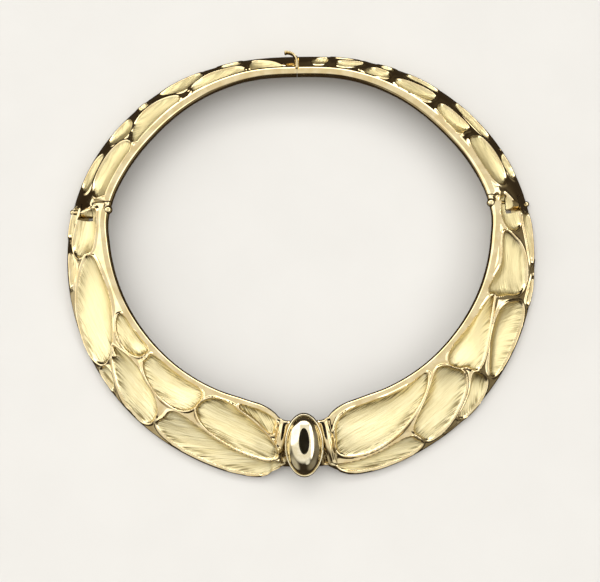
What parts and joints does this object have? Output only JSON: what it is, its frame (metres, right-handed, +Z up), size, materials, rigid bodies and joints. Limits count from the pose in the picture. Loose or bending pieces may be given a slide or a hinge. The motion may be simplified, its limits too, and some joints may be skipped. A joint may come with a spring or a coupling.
{
  "type": "hinged gold collar necklace",
  "caption": "Rigid hinged collar necklace in yellow gold, with satin cells between polished ridges, a polished oval dome at the front and a tongue clasp at the back.",
  "frame": {"origin": "on the surface it lies on, under the middle of the collar", "axes": "+Z up out of the surface; -Y towards the dome at the front; +Y towards the clasp at the back; +X to the right of someone who faces the dome, the wearer's left"},
  "size_m": [0.1547, 0.1461, 0.0136],
  "materials": {
    "satin_gold": "yellow gold, cells with a brushed satin finish between polished ridges",
    "polished_gold": "yellow gold with a mirror polish"
  },
  "bodies": {
    "front": {"front_collar": "satin_gold", "centre_cabochon": "polished_gold", "left_hinge_pin": "polished_gold", "right_hinge_pin": "polished_gold"},
    "left_back": {"left_back_arc": "satin_gold", "clasp_tongue": "polished_gold"},
    "right_back": {"right_back_arc": "satin_gold"}
  },
  "joints": [
    {"name": "left_hinge", "type": "hinge", "parent": "front", "child": "left_back", "pos_m": [-0.06928, 0.01617, 0.00592], "axis": [0.812, -0.152, 0.5635], "range_deg": [0, 60]},
    {"name": "right_hinge", "type": "hinge", "parent": "front", "child": "right_back", "pos_m": [0.06928, 0.01617, 0.00592], "axis": [0.812, 0.152, -0.5635], "range_deg": [0, 60]}
  ],
  "couplings": [
    {"joint": "right_hinge", "follows": "left_hinge", "ratio": 1}
  ]
}
